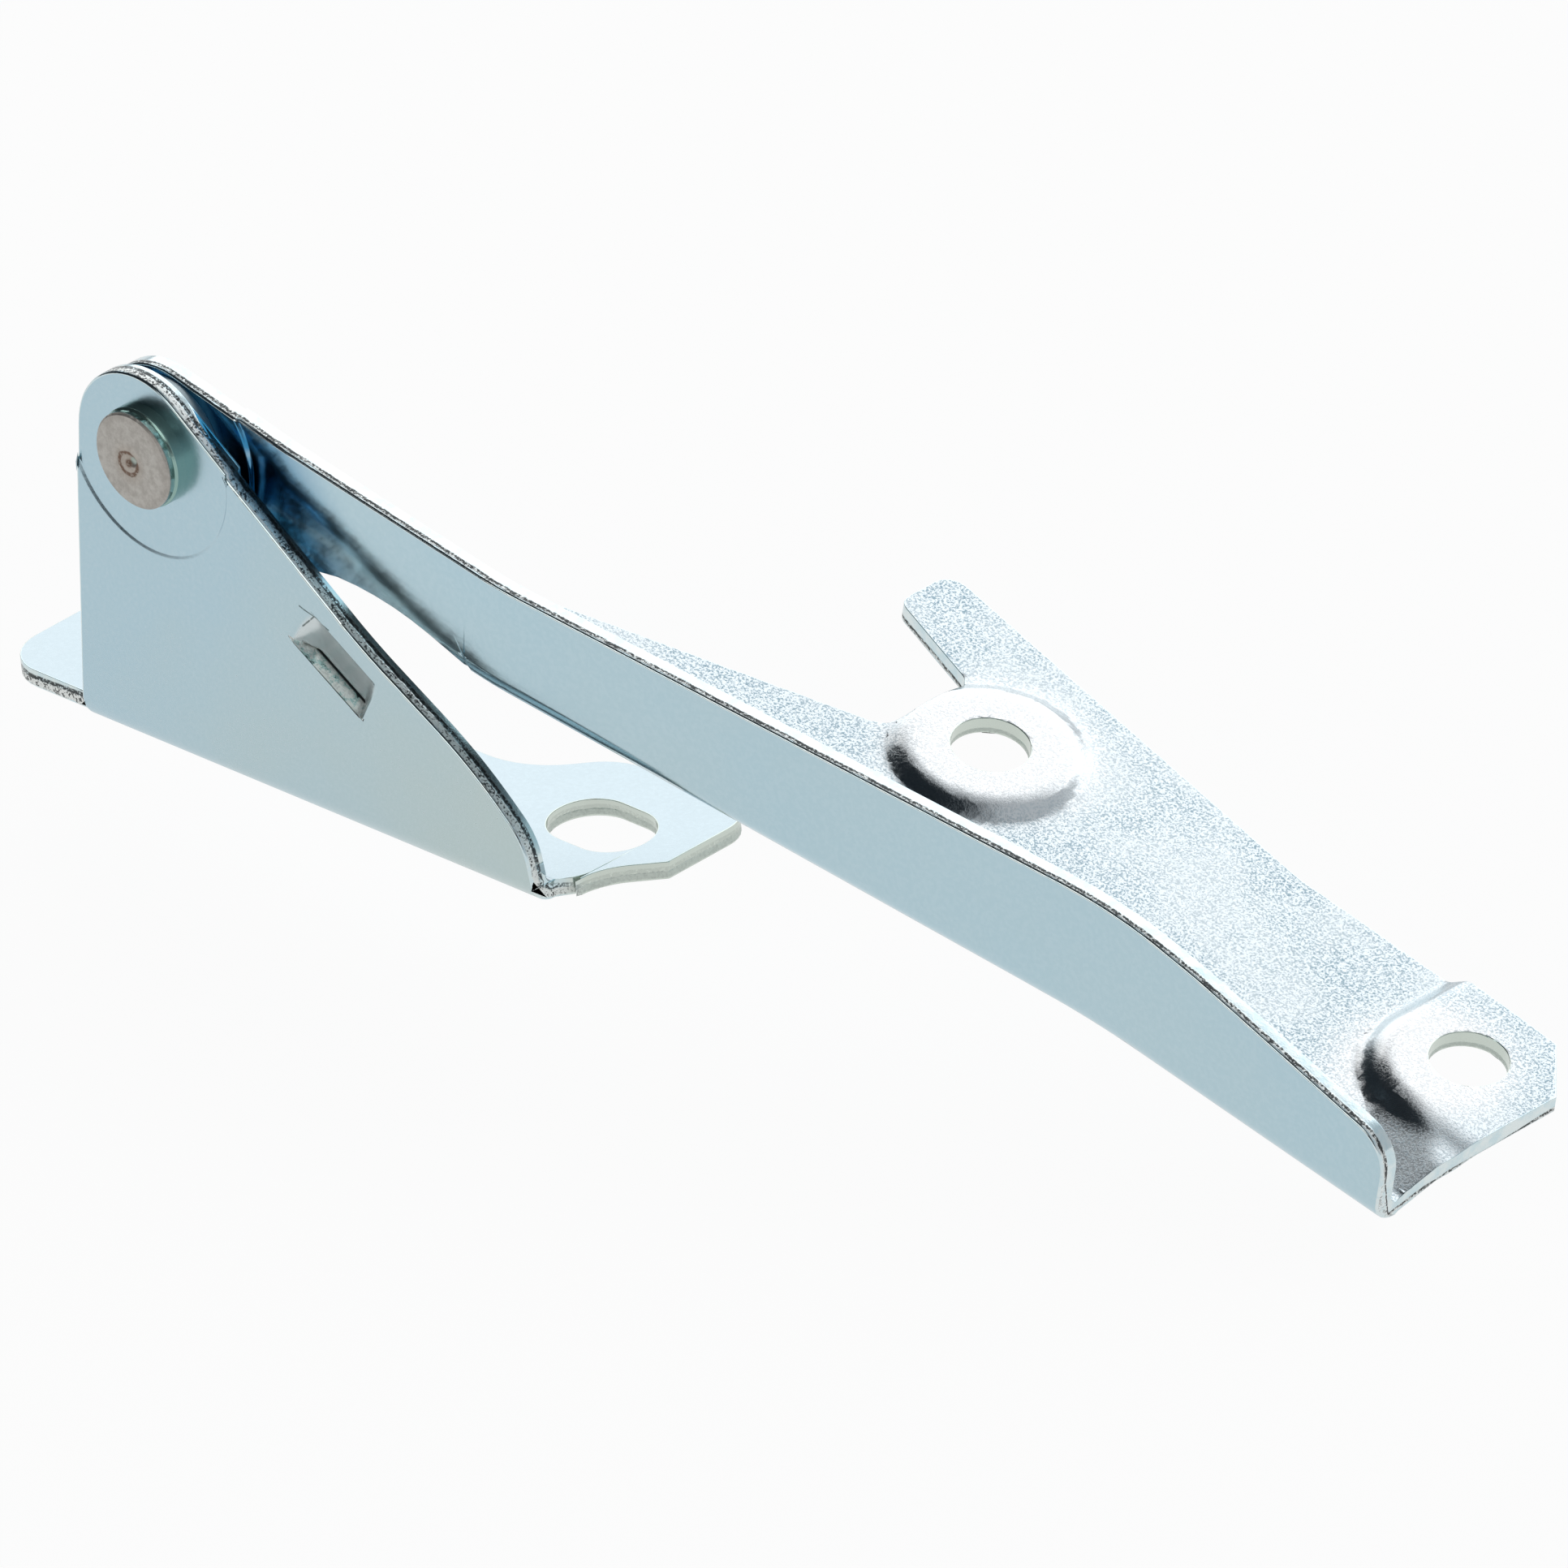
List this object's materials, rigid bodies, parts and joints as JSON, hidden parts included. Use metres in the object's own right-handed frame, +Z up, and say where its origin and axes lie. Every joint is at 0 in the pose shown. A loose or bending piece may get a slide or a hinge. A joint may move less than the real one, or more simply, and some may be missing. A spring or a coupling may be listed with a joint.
{
  "type": "car bonnet hinge",
  "caption": "Folded sheet bracket with a pressed stop and a slotted foot, riveted to a long folded arm whose flange carries raised bolt pads for a bonnet",
  "frame": {"origin": "Centre of the round bolt hole of the body bracket, on the plane the bracket is bolted down to", "axes": "+X along the length toward the bonnet end, +Y from the outer face of the hinge inward, +Z up and out of the round bolt hole"},
  "size_m": [0.2183, 0.0699, 0.0704],
  "materials": {
    "bracket_zinc": "satin blue-bright zinc plate",
    "arm_zinc": "satin blue-bright zinc plate with fine spangle",
    "rivet_steel": "matt plated steel, warmer than the sheets",
    "washer_steel": "plain plated steel"
  },
  "bodies": {
    "bracket": {"body_bracket": "bracket_zinc", "pivot_rivet": "rivet_steel", "spacer_washer": "washer_steel"},
    "arm": {"bonnet_arm": "arm_zinc"}
  },
  "joints": [
    {"name": "pivot", "type": "hinge", "parent": "bracket", "child": "arm", "pos_m": [0.022, -0.0113, 0.0433], "axis": [0, -1, 0], "range_deg": [-9, 60]}
  ]
}
